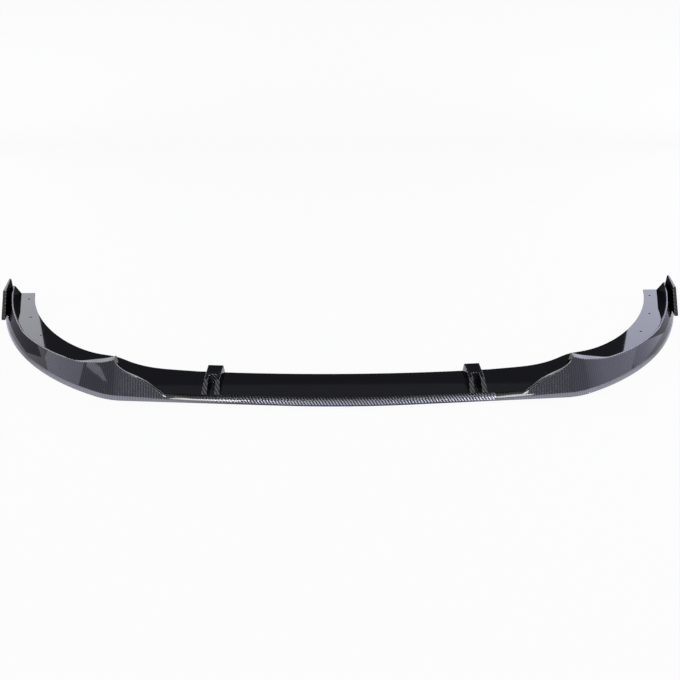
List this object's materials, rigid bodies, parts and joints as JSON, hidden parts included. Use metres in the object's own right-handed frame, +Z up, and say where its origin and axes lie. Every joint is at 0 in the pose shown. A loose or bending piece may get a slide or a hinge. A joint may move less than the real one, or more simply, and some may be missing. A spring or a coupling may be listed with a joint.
{
  "type": "front splitter lip",
  "caption": "U-shaped car front splitter lip with a flat mounting flange, rounded rim, raised side walls with peaks, two moulded uprights and a fin on each rear end.",
  "frame": {"origin": "middle of the box round the lip in plan, on the surface that its rim stands on", "axes": "+X to the right as seen from in front of the lip, -Y to the front of the car, +Z up"},
  "size_m": [1.8436, 0.5379, 0.0908],
  "materials": {
    "twill_print_abs": "black ABS with a printed twill weave under gloss clear coat",
    "zinc_steel": "zinc plated"
  },
  "bodies": {
    "root": {"centre_section": "twill_print_abs", "left_section": "twill_print_abs", "right_section": "twill_print_abs", "left_end_fin": "twill_print_abs", "right_end_fin": "twill_print_abs", "joint_screws": "zinc_steel"}
  },
  "joints": []
}
